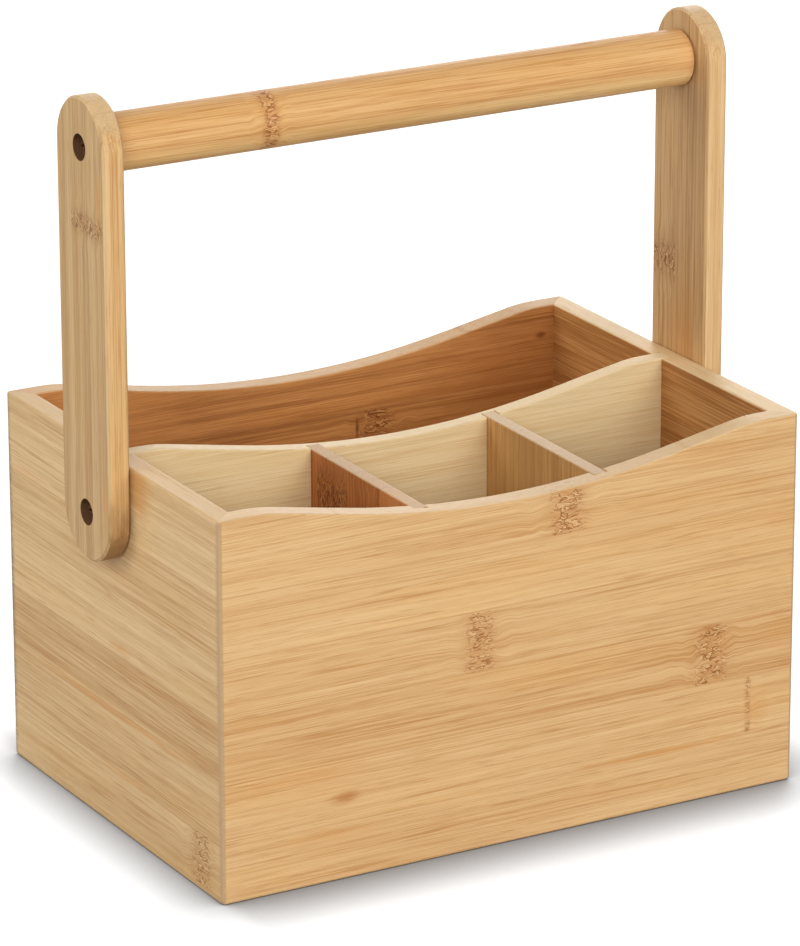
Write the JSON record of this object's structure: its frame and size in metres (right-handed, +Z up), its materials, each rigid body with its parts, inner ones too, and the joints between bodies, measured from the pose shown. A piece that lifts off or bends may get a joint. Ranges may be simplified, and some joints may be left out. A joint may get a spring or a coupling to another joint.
{
  "type": "utensil caddy",
  "caption": "Bamboo cutlery caddy with wavy long walls, upright dividers, and a rod handle that swings over from front to back on pivot screws.",
  "frame": {"origin": "on the surface that the box stands on, under the middle of the box", "axes": "+Z up, +X to the right along the long walls, -Y towards the front wall, where the three small compartments are"},
  "size_m": [0.2686, 0.175, 0.289],
  "materials": {
    "wall_bamboo": "honey-coloured laminated bamboo, sanded and clear-oiled, satin",
    "inner_bamboo": "laminated bamboo, sanded, satin",
    "handle_bamboo": "laminated bamboo, sanded and clear-oiled, satin",
    "screw_steel": "dark bronzed steel, dull"
  },
  "bodies": {
    "box": {"front_wall": "wall_bamboo", "back_wall": "wall_bamboo", "left_wall": "wall_bamboo", "right_wall": "wall_bamboo", "base_panel": "inner_bamboo", "long_divider": "inner_bamboo", "left_cross_divider": "inner_bamboo", "right_cross_divider": "inner_bamboo", "left_pivot_screw": "screw_steel", "right_pivot_screw": "screw_steel"},
    "handle": {"left_upright": "handle_bamboo", "right_upright": "handle_bamboo", "handle_rod": "handle_bamboo", "left_grip_screw": "screw_steel", "right_grip_screw": "screw_steel"}
  },
  "joints": [
    {"name": "handle_swing", "type": "hinge", "parent": "box", "child": "handle", "pos_m": [0, 0, 0.129], "axis": [1, 0, 0], "range_deg": [-135, 135]}
  ]
}
